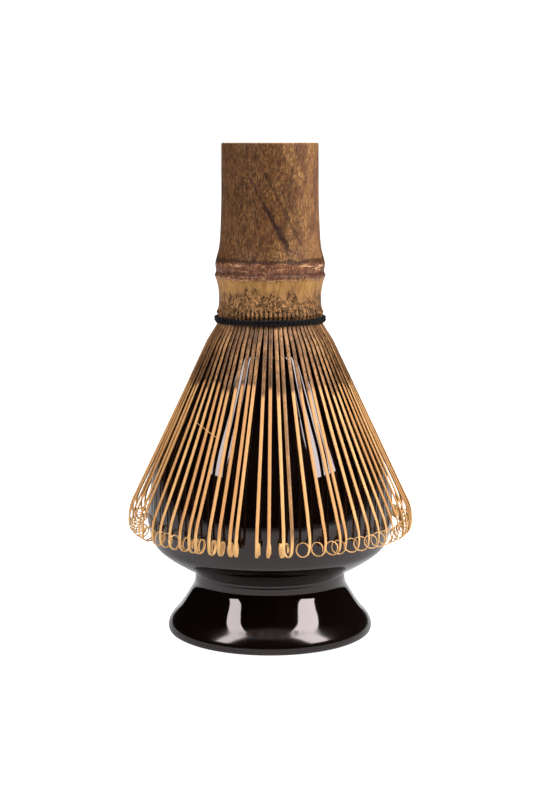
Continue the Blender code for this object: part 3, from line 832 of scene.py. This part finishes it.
def curled_runs():
    """The runs of one tine, its curl tightening towards the tip."""
    runs = list(TINE_RUNS)
    sweep = CURL_SWEEP + math.radians(dice.uniform(-22.0, 14.0))
    start = math.radians(TINE_RUNS[-1][1])
    size = CURL_RADIUS + dice.uniform(-0.12, 0.03) * MM
    parts = 12
    for part in range(parts):
        share = (part + 1) / parts
        runs.append((0.0, math.degrees(start - sweep * share), size - CURL_TIGHTENING * (part + 0.5) / parts))
    return runs


def shape_tine(strip, length, azimuth, tilt, whole_skin):
    """Bends one copy of the straight strip into its place. Gives its points and its two masks."""
    stations = walk(curled_runs(), (ROOT_RADIUS, ROOT_TOP_Z))
    stations[:, 0] *= length / stations[-1, 0]
    distance = -strip[:, 2]
    shares, _, thicknesses = zip(*TINE_SECTIONS)
    face = np.interp(distance / length, shares, thicknesses) / 2
    outside = (strip[:, 0] > face - EDGE_ROUND / 2).astype(float)
    places = bend_along(strip, stations)

    bow = dice.uniform(-TINE_BOW, TINE_BOW)
    share = distance / length
    places[:, 0] += bow * np.sin(np.pi * np.clip(share / 0.8, 0.0, 1.0))
    curl_start = length - CURL_SWEEP * (CURL_RADIUS - CURL_TIGHTENING / 2)
    drift = dice.uniform(*CURL_DRIFT) * dice.choice((-1.0, 1.0))
    places[:, 1] += drift * smoothstep(distance, curl_start, length)

    at = np.interp(curl_start - TWIST_PIVOT, stations[:, 0], stations[:, 1])
    level = np.interp(curl_start - TWIST_PIVOT, stations[:, 0], stations[:, 2])
    weights = smoothstep(distance, curl_start - TWIST_RUN[0], curl_start + TWIST_RUN[1])
    pivot = np.array([at, 0.0, level])
    places = turn_about(places, pivot, np.array([0.12, 0.0, -1.0]), weights * loop_twist(azimuth))

    hinge = np.array([ROOT_RADIUS, 0.0, HINGE_Z])
    places = turn_about(places, hinge, np.array([1.0, 0.0, 0.0]), np.full(len(places), tilt))
    placed = placed_round(places, azimuth)
    skin_end = SKIN_END_Z + dice.uniform(-SKIN_UNEVEN, SKIN_UNEVEN)
    skin_end -= SKIN_SLANT * max(0.0, math.sin(azimuth))
    skin_left = outside * smoothstep(placed[:, 2], skin_end - SKIN_EDGE, skin_end + SKIN_EDGE)
    if whole_skin:
        skin_left = np.maximum(skin_left, 0.75 * outside * smoothstep(placed[:, 2], 30.0 * MM, 34.0 * MM))
    # Painted shade: how deep a point lies in the tine, towards the axis, faded in with height; its side is
    # painted dark there for the shade between tines.
    deep = np.clip(0.5 - strip[:, 0] / face / 2, 0.0, 1.0) * smoothstep(placed[:, 2], *SHADED_SIDES)
    return placed, skin_left, deep


def copies_as_one(strip, count):
    """One mesh object holding count copies of the strip, in order."""
    clear_selection()
    copies = []
    for _ in range(count):
        bpy.ops.object.select_all(action="DESELECT")
        strip.select_set(True)
        bpy.ops.object.duplicate(linked=False)
        copies.append(bpy.context.selected_objects[0])
    bpy.ops.object.select_all(action="DESELECT")
    for copy in copies:
        copy.select_set(True)
    bpy.context.view_layer.objects.active = copies[0]
    bpy.ops.object.join()
    return copies[0]


def mark(mesh, name, values):
    mesh.attributes.new(name, "FLOAT", "POINT").data.foreach_set("value", values)


def build_outer_tines(material):
    """The curled outer tines, four to a group, on the group's own sprung body."""
    nominal = walk(curled_runs(), (ROOT_RADIUS, ROOT_TOP_Z))
    length = nominal[-1, 0]
    tip_radius = nominal[:, 1].max()
    reach = HINGE_Z - nominal[:, 2].min()
    strip = draw_out_strip(TINE_SECTIONS, length, TINE_RINGS)
    straight = points_of(strip.data)
    for number in range(GROUPS):
        first = ((number + GROUPS // 2) % GROUPS - GROUPS // 2) * PAIRS_PER_GROUP
        placed, skins, shades, gap_shades = [], [], [], []
        for index in range(first, first + PAIRS_PER_GROUP):
            lean, half = pair_sway(index)
            for side in (-1, 1):
                root = side * PAIR_PITCH / 4
                azimuth = PAIR_OFFSET + index * PAIR_PITCH + root
                sideways = tip_radius * math.sin(lean + side * half - root) / reach
                whole = (index, side) == WHOLE_SKIN_TINE
                places, skin_left, deep = shape_tine(straight, length, azimuth, math.asin(sideways), whole)
                placed.append(places)
                skins.append(skin_left)
                gap_shades.append(deep)
                shades.append(np.full(len(places), dice.random()))
        group = copies_as_one(strip, len(placed))
        put_points(group.data, np.concatenate(placed))
        mark(group.data, "skin_left", np.concatenate(skins))
        mark(group.data, "shade", np.concatenate(shades))
        mark(group.data, "deep", np.concatenate(gap_shades))
        node = f"outer_tines_{number + 1:02d}"
        keep(group, f"curled_tines_{number + 1:02d}", material, node, node, slot="shaved_bamboo")
    bpy.data.objects.remove(strip)


def build_inner_tines(material):
    """The fine inner tines, gathered towards the axis, four to a group."""
    stations = walk(INNER_RUNS, (INNER_RADIUS, ROOT_TOP_Z))
    length = stations[-1, 0]
    strip = draw_out_strip(INNER_SECTIONS, length, INNER_RINGS)
    straight = points_of(strip.data)
    between = math.tau / (GROUPS * INNER_PER_GROUP)
    for number in range(GROUPS):
        placed, skins, shades = [], [], []
        for place in range(INNER_PER_GROUP):
            azimuth = number * math.tau / GROUPS + (place - (INNER_PER_GROUP - 1) / 2) * between
            places = bend_along(straight, stations)
            loose = smoothstep(-straight[:, 2], 0.25 * length, length)
            places[:, 0] += loose * dice.uniform(-0.35, 0.25) * MM
            placed.append(placed_round(places, azimuth + loose * dice.uniform(-0.012, 0.012)))
            skins.append(np.zeros(len(places)))
            shades.append(np.full(len(places), dice.random()))
        group = copies_as_one(strip, len(placed))
        put_points(group.data, np.concatenate(placed))
        mark(group.data, "skin_left", np.concatenate(skins))
        mark(group.data, "shade", np.concatenate(shades))
        # Painted shade: the gathered tines are painted dark towards their upper ends, for the shade in the
        # gaps behind the curled tines.
        mark(group.data, "deep", smoothstep(points_of(group.data)[:, 2], 70.0 * MM, 77.0 * MM))
        node = f"inner_tines_{number + 1:02d}"
        keep(group, f"gathered_tines_{number + 1:02d}", material, "whisk", node, slot="shaved_bamboo")
    bpy.data.objects.remove(strip)


# ==== loose fibre ============================================================================
def build_loose_fibre(material):
    """A hair-thin splinter that has lifted from one tine and lies across the others of its group."""
    curve = round_curve("loose_fibre", FIBRE_RADIUS, 1)
    spline = curve.splines.new("NURBS")
    spline.points.add(len(FIBRE_PATH) - 1)
    for point, (azimuth, radius, height) in zip(spline.points, FIBRE_PATH):
        azimuth = math.radians(azimuth)
        point.co = (math.sin(azimuth) * radius * MM, -math.cos(azimuth) * radius * MM, height * MM, 1.0)
    spline.use_endpoint_u = True
    spline.order_u = 3
    fibre = curve_to_mesh("loose_fibre", curve)
    mark(fibre.data, "skin_left", np.zeros(len(fibre.data.vertices)))
    mark(fibre.data, "shade", np.ones(len(fibre.data.vertices)))
    keep(fibre, "loose_fibre", material, FIBRE_BODY, slot="shaved_bamboo")


def round_curve(name, radius, resolution):
    curve = bpy.data.curves.new(name, "CURVE")
    curve.dimensions = "3D"
    curve.bevel_depth = radius
    curve.bevel_resolution = resolution
    curve.use_fill_caps = True
    return curve


def curve_to_mesh(name, curve):
    """A finished tube mesh from a curve, its caps welded on."""
    clear_selection()
    drawn = bpy.data.objects.new(name, curve)
    bpy.context.scene.collection.objects.link(drawn)
    drawn.select_set(True)
    bpy.context.view_layer.objects.active = drawn
    bpy.ops.object.convert(target="MESH")
    tube = bpy.context.active_object
    bpy.ops.object.mode_set(mode="EDIT")
    bpy.ops.mesh.select_all(action="SELECT")
    bpy.ops.mesh.remove_doubles(threshold=0.001 * MM)
    bpy.ops.mesh.normals_make_consistent(inside=False)
    bpy.ops.object.mode_set(mode="OBJECT")
    bpy.ops.object.shade_smooth()
    return tube


# ==== thread =================================================================================
def round_shift(rounds):
    """Keeps each round nearly level: the thread steps down to the next one behind."""
    turn = rounds % 1.0
    return turn - float(smoothstep(np.array(turn), 0.80, 1.0))


def build_thread(material):
    """Two rounds of two-ply thread, dipping a little between the tines it is wound over."""
    middle_radius = THREAD_OUTER - THREAD_RIBS - 2 * PLY_RADIUS
    first = THREAD_TOP - THREAD_HEAD - 2 * PLY_RADIUS
    rise = (first - THREAD_LOW - 2 * PLY_RADIUS) / (THREAD_ROUNDS - 1)
    curve = round_curve("wound_thread", PLY_RADIUS, 2)
    for ply in range(PLIES):
        spline = curve.splines.new("POLY")
        count = POINTS_PER_ROUND * THREAD_ROUNDS + 1
        spline.points.add(count - 1)
        for i, point in enumerate(spline.points):
            rounds = i / POINTS_PER_ROUND
            azimuth = math.pi * 1.1 + rounds * math.tau
            twist = rounds * TWISTS_PER_ROUND * math.tau + ply * math.tau / PLIES
            tine = (azimuth - PAIR_OFFSET) / (PAIR_PITCH / 2)
            radius = middle_radius - THREAD_RIBS * math.cos(math.tau * tine)
            radius += PLY_OFFSET * math.cos(twist)
            sway = 0.06 * MM * math.sin(5 * azimuth + 3.1 * rounds)
            height = first - rise * (rounds - round_shift(rounds)) + sway
            height += PLY_OFFSET * math.sin(twist)
            point.co = (math.sin(azimuth) * radius, -math.cos(azimuth) * radius, height, 1.0)
    thread = curve_to_mesh("wound_thread", curve)
    return keep(thread, "wound_thread", material, "whisk", "binding_thread", slot="black_cotton")


# ==== studio =================================================================================
def build_studio():
    """Pale floor, a dark room with a soft ceiling, and two tall soft boxes in front."""
    clear_selection()
    bpy.ops.mesh.primitive_circle_add(vertices=96, radius=FLOOR_RADIUS, fill_type="NGON", location=(0, 0, 0))
    floor = bpy.context.active_object
    floor.name = "floor"
    settings = {
        "Base Color": (0.62, 0.62, 0.62, 1.0),
        "Roughness": 0.9,
        "Specular IOR Level": 0.1,
        "Emission Color": (1.0, 1.0, 1.0, 1.0),
    }
    material, tree, shader = new_finish("pale_floor", settings)
    seen = add_node(tree, "ShaderNodeLightPath").outputs["Is Camera Ray"]
    glow = remap(tree, seen, 0.0, 1.0, *FLOOR_GLOW)
    tree.links.new(glow, shader.inputs["Emission Strength"])
    floor.data.materials.append(material)

    world = bpy.data.worlds.new("studio")
    bpy.context.scene.world = world
    world.use_nodes = True
    tree = world.node_tree
    tree.nodes.clear()
    aim = add_node(tree, "ShaderNodeTexCoord").outputs["Generated"]
    height = add_node(tree, "ShaderNodeSeparateXYZ", {0: aim}).outputs["Z"]
    ceiling = remap(tree, height, *CEILING)
    seen = add_node(tree, "ShaderNodeLightPath").outputs["Is Camera Ray"]
    strength = maths(tree, "MAXIMUM", ceiling, seen)
    background = add_node(tree, "ShaderNodeBackground", {"Color": (1, 1, 1, 1), "Strength": strength})
    output = add_node(tree, "ShaderNodeOutputWorld", {"Surface": background.outputs[0]})
    output.is_active_output = True


def soft_box(name, azimuth, elevation, distance, width, height, power):
    """A soft box that faces the middle of the object."""
    light = bpy.data.lights.new(name, "AREA")
    light.shape = "RECTANGLE"
    light.size = width
    light.size_y = height
    light.energy = power
    lamp = bpy.data.objects.new(name, light)
    bpy.context.scene.collection.objects.link(lamp)
    azimuth, elevation = math.radians(azimuth), math.radians(elevation)
    level = math.cos(elevation)
    aim = Vector((math.sin(azimuth) * level, -math.cos(azimuth) * level, math.sin(elevation)))
    lamp.location = Vector((0, 0, LIT_HEIGHT)) + aim * distance
    lamp.rotation_euler = aim.to_track_quat("Z", "Y").to_euler()


def build_camera():
    """Level with the top of the culm and looking a little down."""
    camera = bpy.data.cameras.new("camera")
    camera.sensor_fit = "AUTO"
    camera.sensor_width = 36.0
    camera.lens = CAMERA_LENS
    camera.clip_start = 0.01
    stand = bpy.data.objects.new("camera", camera)
    bpy.context.scene.collection.objects.link(stand)
    stand.location = CAMERA_PLACE
    stand.rotation_euler = (math.radians(90.0 - CAMERA_DOWN), 0.0, 0.0)
    bpy.context.scene.camera = stand


def main():
    build_camera()
    build_studio()
    for name, settings in SOFT_BOXES.items():
        soft_box(name, *settings)
    bpy.context.scene.view_settings.view_transform = "Standard"

    fibres = fibre_group()
    flecks = fleck_group()
    build_holder(black_glaze())
    build_culm(smoked_skin(fibres, flecks), cut_culm(fibres))
    tine = shaved_tine(fibres, flecks)
    build_outer_tines(tine)
    build_inner_tines(tine)
    build_loose_fibre(tine)
    build_thread(black_thread())


main()
